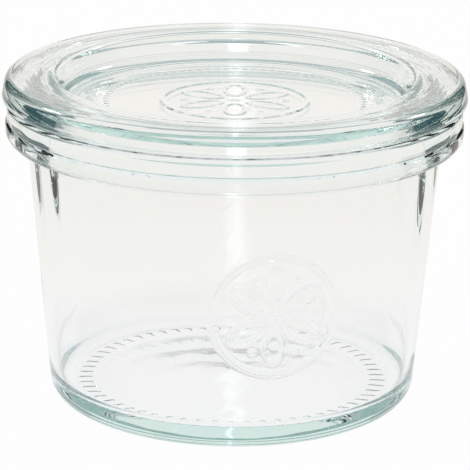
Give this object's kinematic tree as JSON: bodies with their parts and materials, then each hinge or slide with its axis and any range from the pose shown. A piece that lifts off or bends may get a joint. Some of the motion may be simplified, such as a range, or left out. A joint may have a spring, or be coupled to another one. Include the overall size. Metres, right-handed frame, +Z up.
{
  "type": "canning jar",
  "caption": "Small clear glass canning jar with tapered walls, a thick rim and an embossed rosette, closed by a loose glass lid with a sunken top.",
  "frame": {"origin": "centre of the ring that the jar stands on, in the plane of its standing face", "axes": "+Z up, from the foot to the lid; the embossed front of the jar faces -Y"},
  "size_m": [0.07, 0.07, 0.0501],
  "materials": {
    "jar_glass": "clear pressed glass with a faint blue-green tint where it is thick",
    "lid_glass": "clear pressed glass with a faint blue-green tint where it is thick"
  },
  "bodies": {
    "root": {"jar": "jar_glass", "lid": "lid_glass"}
  },
  "joints": []
}
